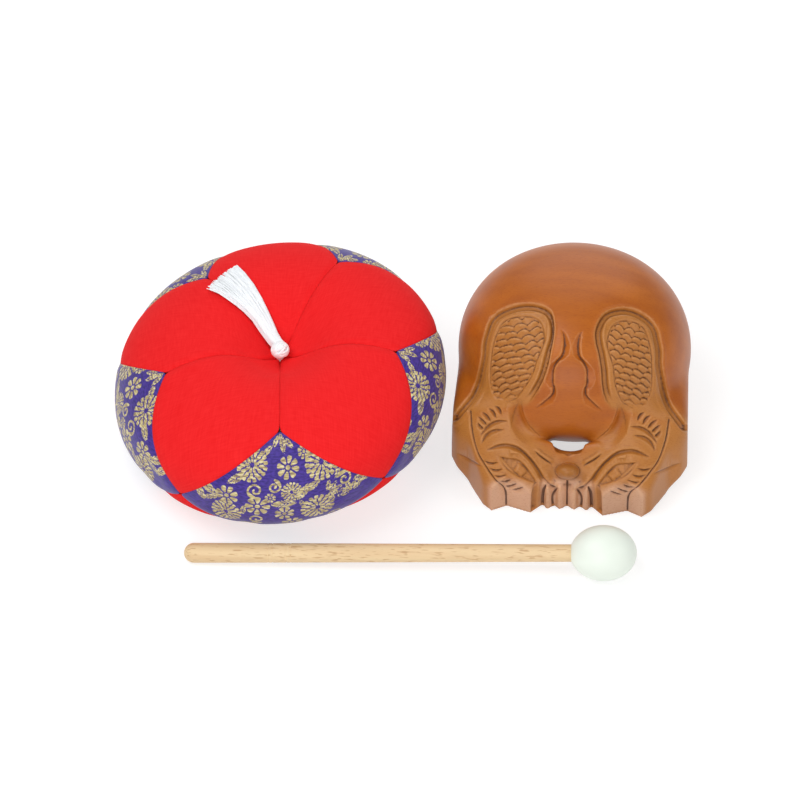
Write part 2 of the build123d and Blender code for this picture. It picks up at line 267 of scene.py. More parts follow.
def brocade():
    """Purple silk twill figured in gold thread, which lies in rows. The rows and the twill are drawn 0.8 and
    0.9 mm apart, coarser than real ones, so that they show."""
    m = new_material("figured_silk")
    twill = add(m, "TexNoise", {"Vector": cloth_uv(m, (2.2, 0.9)), "Scale": 1, "Detail": 1})
    ground = add(m, "ValToRGB", {"Fac": twill}, [(0.35, "#27106F"), (0.65, "#412792")])
    rows = add(m, "TexNoise", {"Vector": cloth_uv(m, (3.5, 0.8)), "Scale": 1, "Detail": 1})
    shades = [(0.32, "#7E6A58"), (0.48, "#B4A26C"), (0.66, "#DED2A0")]
    gold = add(m, "ValToRGB", {"Fac": rows}, shades)
    figure = add(m, "Attribute", attribute_name="figure", out="Fac")
    mark = add(m, "MapRange", {"Value": figure, "From Min": 0.35, "From Max": 0.65})
    colour = add(m, "Mix", {0: mark, 6: ground, 7: gold}, data_type="RGBA", clamp_factor=True, out=2)
    height = add(m, "Math", {0: rows, 1: mark}, operation="ADD")
    bump = add(m, "Bump", {"Height": height, "Strength": 0.3, "Distance": 0.25 * MM})
    return finish_material(
        m, Base_Color=colour, Roughness=0.55, Specular_IOR_Level=0.4, Sheen_Weight=0.2, Normal=bump
    )


def white_thread():
    """Bleached cotton thread: cool white, dull, with a faint nap."""
    m = new_material("bleached_cotton_thread")
    return finish_material(m, Base_Color=linear("#F4F7FA"), Roughness=0.8, Sheen_Weight=0.2)


def cotton_filling():
    """Cotton wadding: off-white and quite dull."""
    return finish_material(new_material("cotton_wadding"), Base_Color=linear("#E4DFD2"), Roughness=0.95)


def beech():
    """Sanded beech: pale tan with short darker ray flecks along the stick, hardly any shine."""
    m = new_material("sanded_beech")
    broad = add(m, "TexNoise", {"Vector": object_mm(m, (70, 4, 4)), "Scale": 1, "Detail": 2})
    wood = add(m, "ValToRGB", {"Fac": broad}, [(0.3, "#DDBD92"), (0.7, "#E8CDA2")])
    flecks = add(m, "TexNoise", {"Vector": object_mm(m, (5, 0.8, 0.8)), "Scale": 1, "Detail": 1})
    fleck = add(m, "ValToRGB", {"Fac": flecks}, [(0.3, "#B98A5E"), (0.42, "#FFFFFF")])
    shaded = {0: 0.5, 6: wood, 7: fleck}
    colour = add(m, "Mix", shaded, data_type="RGBA", blend_type="MULTIPLY", out=2)
    return finish_material(m, Base_Color=colour, Roughness=0.55, Specular_IOR_Level=0.35)


def white_rubber():
    """Moulded white rubber: faintly green white with a broad soft shine."""
    m = new_material("white_rubber")
    depth = (3 * MM, 3 * MM, 3 * MM)
    return finish_material(
        m, Base_Color=linear("#EAF2E7"), Roughness=0.42, Subsurface_Weight=0.1, Subsurface_Radius=depth
    )


WOOD, RED, BROCADE, THREAD = carved_wood(), red_cloth(), brocade(), white_thread()
FILLING, BEECH, RUBBER = cotton_filling(), beech(), white_rubber()


def settle(piece, material, body, slot, *nodes):
    """Give a finished piece its material and its body, and hide the CAD nodes it stands for. The slot is not
    used.
    """
    piece.data.materials.clear()
    piece.data.materials.append(material)
    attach(piece, body)
    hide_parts(*nodes)


# Bell. Its carvings are drawn sideways (a) and up (b) from the body's middle, square to a view from in front
# and above. They are the same on both sides, but the left panel's inner edge lies nearer the middle.

EQUATOR = 38.0
CARVING_TILT = radians(47)
CARVING_UP = np.array((0, sin(CARVING_TILT), cos(CARVING_TILT)))
CARVING_FACE = np.array((0, -cos(CARVING_TILT), sin(CARVING_TILT)))
BELL_HALF_WIDTH, BELL_HALF_DEPTH = 51.25, 47.0
BELL_CROWN, CROWN_FULLNESS = 43.0, 2.4
BELL_BELLY, BELLY_FULLNESS = 39.5, 2.1
UNSANDED_CORE, UNCARVED_CORE = (47.0, 41.5, 37.0), (46.5, 41.0, 36.0)
VOXEL = 0.5
MOST_TRIANGLES = 190000


def on_drawing(points):
    """How far up the drawing and how far out of it points lie."""
    return [points @ way - EQUATOR * way[2] for way in (CARVING_UP, CARVING_FACE)]


def in_core(points, core):
    """Whether points lie in an oval round the sound chamber, given by its half sizes."""
    return np.linalg.norm((points - (0, 0, EQUATOR)) / core, axis=1) < 1


def smooth_line(points, steps=6):
    """A Catmull-Rom line through given points."""
    p = np.array([points[0], *points, points[-1]], float)
    p[0] = 2 * p[1] - p[2]
    p[-1] = 2 * p[-2] - p[-3]
    line = []
    for before, start, end, after in zip(p, p[1:], p[2:], p[3:]):
        for t in np.arange(steps) / steps:
            place = 2 * start + (end - before) * t
            place += (2 * before - 5 * start + 4 * end - after) * t**2
            place += (3 * start - before - 3 * end + after) * t**3
            line.append(0.5 * place)
    return np.array(line + [p[-2]])


def along_line(a, b, line):
    """Distance from points to a line, signed by side, and the share of the line passed."""
    best = np.full(a.shape, 1e9)
    side = np.zeros(a.shape)
    share = np.zeros(a.shape)
    lengths = np.hypot(*np.diff(line, axis=0).T)
    passed = np.concatenate(([0], np.cumsum(lengths)))
    for start, end, length, before in zip(line[:-1], line[1:], lengths, passed):
        way = (end - start) / length
        t = np.clip((a - start[0]) * way[0] + (b - start[1]) * way[1], 0, length)
        da = a - start[0] - t * way[0]
        db = b - start[1] - t * way[1]
        away = np.hypot(da, db)
        nearer = away < best
        best = np.where(nearer, away, best)
        side = np.where(nearer, np.sign(way[0] * db - way[1] * da), side)
        share = np.where(nearer, (before + t) / passed[-1], share)
    return best, side, share


def within(a, b, line):
    """Whether points lie inside a closed line."""
    inside = np.zeros(a.shape, bool)
    for (a0, b0), (a1, b1) in zip(line, np.roll(line, -1, 0)):
        crosses = (b0 > b) != (b1 > b)
        at = a0 + (b - b0) / (b1 - b0 + 1e-12) * (a1 - a0)
        inside ^= crosses & (a < at)
    return inside


class Carving:
    """How high the wood stands at each point of the drawing: below 0 where it is cut, above 0 on a bead."""

    THINNING = 0.6
    LEAST_REACH = 0.05
    BEAD_TAPER = 0.2

    def __init__(self, a, b, relief=0):
        self.a, self.b = a, b
        self.relief = np.zeros(a.shape) + relief

    def along(self, points, reach):
        """The points round a line: which they are, how far off, on which side and after what share of it."""
        line = smooth_line(points)
        low, high = line.min(0) - reach, line.max(0) + reach
        box = (self.a > low[0]) & (self.a < high[0]) & (self.b > low[1]) & (self.b < high[1])
        at = np.nonzero(box)[0]
        return at, *along_line(self.a[at], self.b[at], line)

    def inside(self, outline, slope):
        """The points in a closed outline: which they are, and a share that rises to 1 over its slope."""
        closed = [*outline, outline[0]]
        at, away, _, _ = self.along(closed, 0)
        inside = within(self.a[at], self.b[at], smooth_line(closed))
        return at, np.where(inside, np.clip(away / slope, 0, 1), 0)

    def cut(self, points, width, depth, steep=0.5, taper=0.35):
        """A gouge stroke, deepest on its line and thinning to its ends. Its left side takes 1 - steep of the
        width."""
        at, away, side, share = self.along(points, width)
        ends = np.ones(len(at))
        if taper:
            ends = np.clip(np.minimum(share, 1 - share) / taper, 0, 1) ** self.THINNING
        reach = np.where(side > 0, width * (1 - steep), width * steep) * np.maximum(ends, self.LEAST_REACH)
        wall = np.clip(1 - away / np.maximum(reach, self.LEAST_REACH), 0, 1)
        self.relief[at] = np.minimum(self.relief[at], -depth * ends * wall * (2 - wall))

    def raise_along(self, points, width, height):
        """A rounded bead left standing along a line."""
        at, away, _, share = self.along(points, width)
        ends = np.clip(np.minimum(share, 1 - share) / self.BEAD_TAPER, 0, 1) ** 0.5
        self.relief[at] += height * ends * np.sqrt(np.clip(1 - (away / width) ** 2, 0, 1))

    def hollow(self, outline, depth, slope):
        """A recess inside a closed outline, with sloping walls."""
        at, share = self.inside(outline, slope)
        self.relief[at] -= depth * share


WEB_EDGE = (
    (20.6, -28.0), (19.8, -30.4), (16.8, -34.8), (11.7, -38.8), (8.8, -41.0), (4.4, -43.6), (-0.6, -44.3),
)
WEB_STEPS = (24, 10)
WEB_WIDTH = 9.0
WEB_DEPTH = 12.0
WEB_LOWEST = 21.0
WEB_ROOT, WEB_ROOT_DEPTH = 0.2, 8
WEB_SWELL = 1.3
WEB_UNDER_ROOF = 0.8
ARM_ROOF, ARM_ROOF_SLOPE, ARM_ROOF_DIP, ARM_ROOF_HALF_SPAN = 37.5, 0.184, 4.0, 27
HOLE_LIFT = 4.3


def body_front(a, b):
    """How far out the turned body's own surface lies under each place of the carving."""
    near, far = np.zeros(a.shape), np.full(a.shape, 60.0)
    for _ in range(24):
        half = (near + far) / 2
        y = b * sin(CARVING_TILT) - half * cos(CARVING_TILT)
        z = b * cos(CARVING_TILT) + half * sin(CARVING_TILT)
        tall = np.clip(np.abs(z) / np.where(z > 0, BELL_CROWN, BELL_BELLY), 0, 1)
        fullness = np.where(z > 0, CROWN_FULLNESS, BELLY_FULLNESS)
        outside = np.hypot(a / BELL_HALF_WIDTH, y / BELL_HALF_DEPTH) > (1 - tall**fullness) ** (1 / fullness)
        near, far = np.where(outside, near, half), np.where(outside, half, far)
    return near


def arm_web(side):
    """The wood between an arm of the handle and the body, which leaves only a narrow finger hole."""
    pick()
    steps, rows = WEB_STEPS
    bpy.ops.mesh.primitive_grid_add(x_subdivisions=steps, y_subdivisions=rows, size=2, location=(0, 0, 0))
    web = named("arm_web")
    grid = points_of(web) * MM
    along = (grid[:, 0] + 1) / 2
    into_body = WEB_ROOT * (1 - ease(0.5, 0.64, along))
    across = -into_body + (1 + into_body) * (grid[:, 1] + 1) / 2
    line = smooth_line(WEB_EDGE)
    place = along * (len(line) - 1)
    ways = np.gradient(line, axis=0)
    ways /= np.linalg.norm(ways, axis=1)[:, None]
    edge = [np.interp(place, np.arange(len(line)), line[:, c]) for c in (0, 1)]
    way = [np.interp(place, np.arange(len(line)), ways[:, c]) for c in (0, 1)]
    a, b = edge[0] - WEB_WIDTH * across * way[1], edge[1] + WEB_WIDTH * across * way[0]
    start = np.maximum(body_front(*edge) + 0.2, WEB_LOWEST)
    dip = ARM_ROOF_DIP * (1 - np.clip(a / ARM_ROOF_HALF_SPAN, 0, 1) ** 2)
    roof = ARM_ROOF + ARM_ROOF_SLOPE * b - dip - WEB_UNDER_ROOF
    swell = start + (roof - start) * np.clip(across, 0, 1) ** WEB_SWELL
    out = np.where(across < 0, start + WEB_ROOT_DEPTH * across, swell)
    points = a[:, None] * (side, 0, 0) + b[:, None] * CARVING_UP + out[:, None] * CARVING_FACE
    set_points(web, points + (0, 0, EQUATOR))
    with editing(web):
        inwards = -WEB_DEPTH * MM * Vector(CARVING_FACE)
        bpy.ops.mesh.extrude_region_move(TRANSFORM_OT_translate={"value": inwards})
        bpy.ops.mesh.select_all(action="SELECT")
        bpy.ops.mesh.normals_make_consistent(inside=False)
    return web


def rough_bell():
    """The CAD bell as one even skin, with the body's lower edge lifted and webs set in at the finger hole."""
    bell = copied(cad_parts["bell_body"])
    bell.parent = None
    with editing(bell):
        bpy.ops.mesh.remove_doubles(threshold=WELD * MM)
    shape(bell, "REMESH", mode="VOXEL", voxel_size=VOXEL * MM)
    points = points_of(bell)
    b, out = on_drawing(points)
    of_body = (b > -44.3) | ((b > -45.6) & (out < 15.0))
    lifted = of_body * (1 - ease(-45.0, -33.0, b)) * (1 - ease(8.0, 16.0, np.abs(points[:, 0])))
    set_points(bell, points + (HOLE_LIFT * lifted)[:, None] * CARVING_UP)
    join(bell, *[arm_web(side) for side in (-1, 1)])
    shape(bell, "REMESH", mode="VOXEL", voxel_size=VOXEL * MM)
    shape(bell, "SMOOTH", factor=0.5, iterations=3)
    return bell


SANDING = 220
SANDING_PACE = 0.6
HOLE_SANDING = 0.12
CHEEK_SANDING = 0.25


def blend_block(bell, ring):
    """Sand the block's creases until the body, its arms and the two heads flow into each other."""
    points = points_of(bell)
    normals = ring.mean(normals_of(bell), 6)
    b, _ = on_drawing(points)
    a = np.abs(points[:, 0])
    cheek = CHEEK_SANDING * ease(32.0, 38.0, a)
    soft = ease(-0.1, 0.25, normals @ CARVING_FACE) * np.maximum(ease(-44.0, -38.0, b), cheek)
    soft = soft * ~in_core(points, UNSANDED_CORE)
    hole = ease(-49.0, -46.0, b) * (1 - ease(-40.0, -36.0, b)) * (1 - ease(18.0, 24.0, a))
    soft = ring.mean(np.maximum(soft, HOLE_SANDING * hole), 8)
    for _ in range(SANDING):
        points += SANDING_PACE * soft[:, None] * (ring.mean(points) - points)
    set_points(bell, points)


PANEL_EDGE = (
    (18.8, -24.7), (15.9, -21.4), (14.1, -15.2), (13.3, -7.8), (11.9, -0.9), (10.4, 4.3), (10.0, 9.4),
    (11.9, 14.9), (15.2, 18.2), (20.6, 19.8), (25.8, 19.5), (30.9, 17.4), (35.3, 14.1), (37.5, 10.5),
    (38.6, 6.5), (39.7, 1.3), (39.9, -4.5), (40.8, -9.7), (42.3, -16.3), (44.5, -21.4), (47.4, -25.4),
    (51.0, -30.0),
)
SCALE_FIELD = (
    (29.4, -24.5), (24.3, -22.5), (22.1, -19.5), (20.3, -15.2), (19.5, -11.5), (18.8, -6.0), (17.0, -0.9),
    (15.7, 3.5), (15.9, 6.5), (17.0, 10.5), (19.2, 13.1), (22.8, 14.2), (28.0, 13.4), (31.6, 10.9),
    (33.5, 6.5), (34.9, 1.3), (35.5, -4.2), (35.8, -9.7), (35.4, -16.3), (33.6, -21.6),
)
PANEL_REACH = 8
LEFT_PANEL_SHIFT = 3.5
MOAT_WALL, MOAT_WIDTH, MOAT_DEPTH = 0.7, 3.2, 1.7
RIM_HEIGHT = 0.25
BEAD_INSET, BEAD_HALF_WIDTH, BEAD_HEIGHT = 4.1, 1.3, 0.3
SCALE_SIZE, SCALE_RISE, SCALE_RADIUS, SCALE_DEPTH = 4.3, 2.9, 2.8, 1.5
SCALE_LEAN = 0.25
SCALE_TOP = 0.85


def scale_relief(a, b):
    """Overlapping scales, cut by hand, with their free edges up the body, away from the heads."""
    x = a + SCALE_LEAN * b + 0.3 * np.sin(0.8 * b + 0.5 * a)
    y = b + SCALE_LEAN * a + 0.25 * np.sin(0.9 * a - 0.6 * b)
    row = np.floor(y / SCALE_RISE)
    height = np.zeros(a.shape)
    done = np.zeros(a.shape, bool)
    for above in (-2, -1, 0, 1):
        j = row + above
        place = x / SCALE_SIZE - np.where(j % 2 == 0, 0, 0.5)
        u, v = (place - np.round(place)) * SCALE_SIZE, y - j * SCALE_RISE
        reach = np.hypot(u, v) / SCALE_RADIUS
        covers = (reach < 1) & ~done
        edge = np.sqrt(np.clip((1 - reach) * 12, 0, 1))
        height = np.where(covers, np.clip(0.25 + 0.75 * v / SCALE_RADIUS - 0.05 * u * u, 0, 1) * edge, height)
        done |= covers
    return SCALE_DEPTH * (height - SCALE_TOP)


def scale_panels(carving):
    """A moat, a bead, a thin groove and a field of scales in each panel."""
    at, away, side, share = carving.along(PANEL_EDGE, PANEL_REACH)
    inset = np.where(side < 0, away, -away)
    ends = ease(0, 0.08, share)
    wall = ease(0, MOAT_WALL, inset) * (1 - ease(MOAT_WIDTH - 1.0, MOAT_WIDTH + 0.4, inset))
    carving.relief[at] -= MOAT_DEPTH * ends * wall
    carving.relief[at] += RIM_HEIGHT * np.exp(-(((inset + 0.6) / 0.7) ** 2)) * ends
    bead = np.clip(1 - ((inset - BEAD_INSET) / BEAD_HALF_WIDTH) ** 2, 0, 1)
    carving.relief[at] += BEAD_HEIGHT * np.sqrt(bead) * ends
    at, fade = carving.inside(SCALE_FIELD, 0.5)
    foot = ease(-25.0, -19.5, carving.b[at])
    carving.relief[at] += fade * foot * scale_relief(carving.a[at], carving.b[at])
    carving.cut(SCALE_FIELD, 1.0, 0.75, taper=0.1)


THROAT_LINE = (
    (4.6, 9.0), (3.6, 6.6), (3.2, 2.2), (4.0, -2.2), (6.0, -5.1), (7.5, -8.8), (7.5, -14.7), (7.0, -16.9),
    (8.2, -20.5), (15.1, -26.3),
)
THROAT_INNER = (
    (0, 0.3), (0.065, 1.2), (0.175, 2.8), (0.26, 2.8), (0.34, 1.0), (0.42, 0.5), (0.64, 0.5), (0.72, 1.4),
    (0.8, 2.6), (0.92, 1.6), (1, 0.3),
)
THROAT_OUTER = (
    (0, 0.3), (0.1, 0.5), (0.3, 0.5), (0.38, 1.0), (0.46, 2.6), (0.55, 3.7), (0.62, 2.8), (0.68, 0.8),
    (0.74, 0.5), (1, 0.3),
)
THROAT_DEPTH = (
    (0, 0.1), (0.065, 0.9), (0.2, 1.7), (0.34, 1.5), (0.5, 1.3), (0.68, 1.3), (0.8, 1.3), (0.92, 0.8),
    (1, 0),
)
THROAT_REACH = 5


def throat(carving):
    """The two long gouges that bound the vase-shaped strip between the scale panels. Each turns over on its
    way down: a bevel on the inner side, a half-moon on the outer side, then a leaf on the inner side."""
    at, away, side, share = carving.along(THROAT_LINE, THROAT_REACH)
    sizes = (THROAT_INNER, THROAT_OUTER, THROAT_DEPTH)
    inner, outer, depth = (np.interp(share, *zip(*size)) for size in sizes)
    wall = np.clip(1 - away / np.where(side > 0, outer, inner), 0, 1)
    carving.relief[at] -= depth * wall**0.8


FINGER_EDGE = ((21.2, -21.6), (21.1, -26.0), (19.8, -30.4), (16.8, -34.8), (11.7, -38.8))
ARM_RIDGE = ((25.0, -22.6), (26.7, -27.7), (27.9, -36.0), (27.6, -41.0), (24.0, -44.6))
COLLAR_WIDTH, COLLAR_DEPTH = 7.5, 2.8


def collar(carving):
    """The dish between each arm and the body, a thin line along its edge and the ridge beyond it."""
    at, away, side, share = carving.along(FINGER_EDGE, COLLAR_WIDTH)
    dish = np.sin(pi * np.clip(away / COLLAR_WIDTH, 0, 1) ** 0.7) * np.sin(pi * np.clip(share, 0, 1))
    carving.relief[at] -= COLLAR_DEPTH * np.where(side > 0, dish, 0)
    carving.cut(FINGER_EDGE, 1.2, 0.9, taper=0.3)
    carving.raise_along(ARM_RIDGE, 2.2, 0.8)


BROWS = (
    ((40.3, -33.2), (39.2, -34.9), (37.2, -36.6)), ((40.3, -30.6), (38.2, -32.4), (35.8, -34.8)),
    ((38.8, -28.4), (36.4, -30.2), (34.3, -32.9)), ((35.8, -26.6), (33.6, -28.3), (32.1, -31.2)),
    ((33.2, -25.4), (31.0, -26.9), (29.7, -29.8)),
)
LID = (
    (36.0, -45.2), (29.0, -42.9), (22.2, -43.9), (16.9, -48.0), (13.0, -52.8), (8.9, -58.4), (3.0, -61.6),
)
EYE = (
    (30.6, -47.6), (26.5, -48.0), (20.3, -49.3), (14.2, -56.4), (13.4, -59.2), (19.0, -57.6), (25.0, -53.9),
)
WHISKERS = (
    ((37.8, -49.7), (34.0, -50.9), (30.4, -50.3)), ((35.0, -53.0), (31.6, -53.9), (28.2, -53.1)),
    ((32.6, -56.2), (29.4, -56.6), (26.0, -55.5)), ((30.4, -58.7), (27.5, -58.9), (24.5, -57.7)),
    ((27.7, -60.8), (25.0, -60.7), (21.9, -59.3)), ((24.6, -62.2), (22.0, -62.0), (18.8, -60.7)),
)
JAW = (
    (43.8, -28.4), (42.6, -37.7), (39.9, -46.5), (35.9, -52.6), (31.5, -58.2), (27.2, -62.3), (26.6, -72.0),
)


def dragon_heads(carving):
    """Eyes, brows, whiskers, lips, jaws and teeth of the two heads that meet at the pearl."""
    for stroke in BROWS:
        carving.cut(stroke, 1.9, 1.2, steep=0.3)
    carving.cut(((39.2, -39.2), (36.2, -35.0), (32.2, -32.6), (26.6, -32.0)), 2.3, 1.3, steep=0.3)
    carving.cut(((38.4, -42.6), (36.6, -38.8), (33.3, -36.6), (28.3, -35.9)), 2.3, 1.2, steep=0.3)
    carving.cut(LID, 2.6, 1.5, steep=0.35, taper=0.15)
    carving.raise_along(((33.0, -46.8), (27.8, -45.2), (21.6, -46.4), (16.5, -50.4), (12.4, -55.6)), 1.3, 0.5)
    carving.hollow(EYE, 1.1, 0.7)
    carving.raise_along(((22.6, -52.2), (20.6, -53.6), (18.8, -55.2)), 2.1, 1.0)
    carving.cut(((31.0, -47.2), (25.2, -54.0), (13.8, -59.3)), 1.1, 0.8)
    for stroke in WHISKERS:
        carving.cut(stroke, 1.5, 1.0, steep=0.3)
    carving.cut(JAW, 0.9, 0.9, taper=0)
    carving.cut(((49.5, -47.0), (44.0, -49.6), (37.5, -52.6)), 1.6, 0.7, steep=0.3)
    carving.cut(((14.9, -44.4), (11.8, -47.1), (6.2, -50.7)), 1.2, 0.7)
    carving.raise_along(((14.7, -43.6), (11.5, -46.1), (6.6, -49.2)), 0.9, 0.6)
    carving.cut(((0.0, -59.0), (0.0, -66.0), (0.0, -74.0)), 1.0, 0.9, taper=0)
    carving.cut(((5.0, -61.4), (6.3, -65.0), (5.4, -74.0)), 1.2, 1.0, taper=0)
    carving.cut(((8.9, -58.4), (10.6, -63.0), (10.8, -74.0)), 1.4, 1.1, taper=0)
    carving.cut(((13.6, -59.2), (14.2, -64.0), (14.6, -74.0)), 2.4, 1.4, taper=0)


PEARL_UP, PEARL_REACH, PEARL_FLAT = -53.6, 8.4, 0.68
PEARL_DARKENING = 0.36
CUT_SHADE_AND_HIGHLIGHT = 4


def carve_bell():
    """The bell: its block sanded, its pearl flattened and its carving cut in."""
    bell = rough_bell()
    ring = Neighbours(bell)
    blend_block(bell, ring)
    points, normals = points_of(bell), normals_of(bell)
    for _ in range(12):
        normals = ring.mean(normals)
        normals /= np.linalg.norm(normals, axis=1)[:, None]
    a = np.abs(points[:, 0])
    b, out = on_drawing(points)
    facing = ease(0.1, 0.4, normals @ CARVING_FACE)
    facing[in_core(points, UNCARVED_CORE) & (points[:, 1] > -36)] = 0
    from_pearl = np.hypot(a, b - PEARL_UP)
    pearl = ease(14.0, 18.0, out) * (1 - ease(PEARL_REACH - 1, PEARL_REACH, from_pearl))
    points += (pearl * (PEARL_FLAT - 1) * (b - PEARL_UP))[:, None] * CARVING_UP
    shifted = LEFT_PANEL_SHIFT * ease(-24.0, -6.0, b) * ease(5.0, 10.0, a) * (1 - ease(14.0, 36.0, a))
    panel_a = a + np.where(points[:, 0] < 0, shifted, 0)
    panels = Carving(panel_a, b)
    scale_panels(panels)
    carving = Carving(a, b, panels.relief)
    throat(carving)
    collar(carving)
    dragon_heads(carving)
    points += normals * (carving.relief * facing)[:, None]
    set_points(bell, points)
    # The carving value is curvature: high in concave cuts, where the wood gets painted shade, and low on
    # convex ridges, where it gets a painted highlight.
    cut = np.einsum("ij,ij->i", ring.mean(points) - points, normals_of(bell)) / VOXEL
    for _ in range(2):
        cut = 0.5 * cut + 0.5 * ring.mean(cut)
    # The pearl's face is made darker too, through the same value.
    store(bell, "carving", cut * CUT_SHADE_AND_HIGHLIGHT + PEARL_DARKENING * facing * (1 - ease(5.0, 6.2, from_pearl)))
    panel = within(panel_a, b, smooth_line([*PANEL_EDGE, PANEL_EDGE[0]])) * facing
    head = ease(-30.0, -38.0, b) * ease(10.0, 20.0, np.hypot(a, b + 30.0)) * (facing > 0)
    outer = ease(-20.0, -34.0, b) * ease(20.0, 26.0, a)
    # Faces that look to the front, the saw-cut fronts of the teeth, are painted paler: partly their own paler
    # wood, partly painted highlight.
    sawn_and_lit = ease(-56.0, -60.0, b) * ease(0.75, 0.9, -normals[:, 1])
    worked_and_lit = 0.5 * np.maximum(np.maximum(panel, head), outer) + 0.5 * sawn_and_lit
    store(bell, "worked_and_lit", ring.mean(worked_and_lit, 4))
    triangles = sum(len(face.vertices) - 2 for face in bell.data.polygons)
    shape(bell, "DECIMATE", ratio=MOST_TRIANGLES / triangles)
    shade_smooth(bell)
    bell.name = bell.data.name = "carved_bell"
    settle(bell, WOOD, "bell", "carved_wood", "bell_body")


carve_bell()

# Striker


def turned(name, profile, start, way, sides=64):
    """A piece turned on a lathe: a chain of edges drawn along the profile, spun round its axis."""
    across = way.orthogonal().normalized()
    places = [start + way * (x * MM) + across * (y * MM) for x, y in profile]
    pick()
    bpy.ops.mesh.primitive_plane_add(size=MM, location=(0, 0, 0))
    piece = named(name)
    with editing(piece):
        bpy.ops.mesh.merge(type="CENTER")
        bpy.ops.transform.translate(value=places[0])
        for before, after in zip(places, places[1:]):
            bpy.ops.mesh.extrude_region_move(TRANSFORM_OT_translate={"value": after - before})
        bpy.ops.mesh.select_all(action="SELECT")
        bpy.ops.mesh.spin(steps=sides, angle=2 * pi, center=start, axis=way)
        bpy.ops.mesh.select_all(action="SELECT")
        bpy.ops.mesh.remove_doubles(threshold=WELD * MM)
        bpy.ops.mesh.normals_make_consistent(inside=False)
    shade_smooth(piece)
    return piece


STRIKER_TURN = radians(1)
STRIKER_LENGTH, HEAD_LENGTH, HEAD_DIAMETER = 199.0, 29.5, 24.7
STICK_BUTT, STICK_NECK, TENON_DIAMETER, TENON_LENGTH = 8.8, 7.7, 6.0, 17.0
HEAD_AT = STRIKER_LENGTH - HEAD_LENGTH / 2
head_radius, butt_radius = HEAD_DIAMETER / 2, STICK_BUTT / 2
striker_rise = (head_radius - butt_radius) / (HEAD_AT - butt_radius)
level = sqrt(1 - striker_rise**2)
striker_way = Vector((level * cos(STRIKER_TURN), level * sin(STRIKER_TURN), striker_rise))
head_low = hypot(HEAD_LENGTH / 2 * striker_rise, head_radius * level)
striker_start = Vector((18.0, -96.5, head_low)) * MM - striker_way * (HEAD_AT * MM)
mouth = sqrt(1 - (STICK_NECK / HEAD_DIAMETER) ** 2)
shoulder = HEAD_AT - HEAD_LENGTH / 2 * mouth
SCRIBED_RINGS = (37.0, 39.0, 45.0, 47.0)
RING_DEPTH, RING_HALF_WIDTH = 0.18, 0.35
RINGS_END = 50
BORE_CLEARANCE = 0.05
CREASE = radians(40)


def make_striker():
    """The stick with its scribed rings, tenoned into the rubber head."""

    def stick_radius(x):
        return butt_radius + (STICK_NECK / 2 - butt_radius) * (x - butt_radius) / (shoulder - butt_radius)

    profile = [(butt_radius * (1 - cos(t)), butt_radius * sin(t)) for t in np.linspace(0, pi / 2, 10)]
    for at in SCRIBED_RINGS:
        profile += [(at - RING_HALF_WIDTH, stick_radius(at)), (at, stick_radius(at) - RING_DEPTH)]
        profile += [(at + RING_HALF_WIDTH, stick_radius(at))]
    profile += [(x, stick_radius(x)) for x in np.linspace(RINGS_END, shoulder, 8)]
    tenon = TENON_DIAMETER / 2
    profile += [(shoulder, tenon), (shoulder + TENON_LENGTH, tenon), (shoulder + TENON_LENGTH, 0)]
    handle = turned("striker_stick", profile, striker_start, striker_way)
    pick(handle)
    bpy.ops.object.shade_smooth_by_angle(angle=CREASE)
    settle(handle, BEECH, "striker", "beech", "striker_handle")
    from_end = np.linspace(np.arccos(mouth), pi, 40)
    egg = [(HEAD_AT - HEAD_LENGTH / 2 * cos(t), head_radius * sin(t)) for t in from_end]
    bore, bore_end = tenon + BORE_CLEARANCE, shoulder + TENON_LENGTH + BORE_CLEARANCE
    profile = [(bore_end, 0), (bore_end, bore), (shoulder, bore)] + egg
    head = turned("striker_rubber_head", profile, striker_start, striker_way, sides=80)
    pick(head)
    bpy.ops.object.shade_smooth_by_angle(angle=CREASE)
    settle(head, RUBBER, "striker", "white_rubber", "striker_head")


make_striker()

# Cushion. Its cover is drawn as rays from its middle, and each panel is a four-sided patch between seams.

CUSHION_AT = np.array((-128.5, -22.0, 32.875))
CUSHION_RADIUS, CUSHION_HALF_HEIGHT, CUSHION_SQUARENESS = 72.25, 33.0, 2.5
TUFT_DEPTH, TUFT_SPREAD = 16.0, 22.0
BASE_TUFT_DEPTH, BASE_TUFT_SPREAD = 10.5, 14.0
SEAM_HEADINGS = (-86.6, -7.6, 63.8, 131.8, 198.4)
SEAM_CORNER = 52.0
TIP_DROP = 5.0
PANEL_STEPS = 18
LEAN_HEADING = radians(20)
LEAN_WAY = np.array((cos(LEAN_HEADING), sin(LEAN_HEADING)))
LEAN = 0.1
SEAT_SOFTNESS = 1.0


def cushion_face(radius, tuft_depth, tuft_spread):
    """Height of the cover's top or underside above or below its middle, at a distance from the axis."""
    share = np.clip(radius / CUSHION_RADIUS, 0, 1)
    crown = CUSHION_HALF_HEIGHT * (1 - share**CUSHION_SQUARENESS) ** (1 / CUSHION_SQUARENESS)
    return crown - tuft_depth * np.exp(-((radius / tuft_spread) ** 2))


def cover_reach(ways):
    """How far the cover lies from the cushion's middle along each direction."""
    level = np.hypot(ways[:, 0], ways[:, 1])
    up = ways[:, 2] >= 0
    near, far = np.zeros(len(ways)), np.full(len(ways), 1.2 * CUSHION_RADIUS)
    for _ in range(40):
        half = (near + far) / 2
        top = cushion_face(half * level, TUFT_DEPTH, TUFT_SPREAD)
        under = cushion_face(half * level, BASE_TUFT_DEPTH, BASE_TUFT_SPREAD)
        outside = (half * np.abs(ways[:, 2]) > np.where(up, top, under)) | (half * level > CUSHION_RADIUS)
        near, far = np.where(outside, near, half), np.where(outside, half, far)
    return near


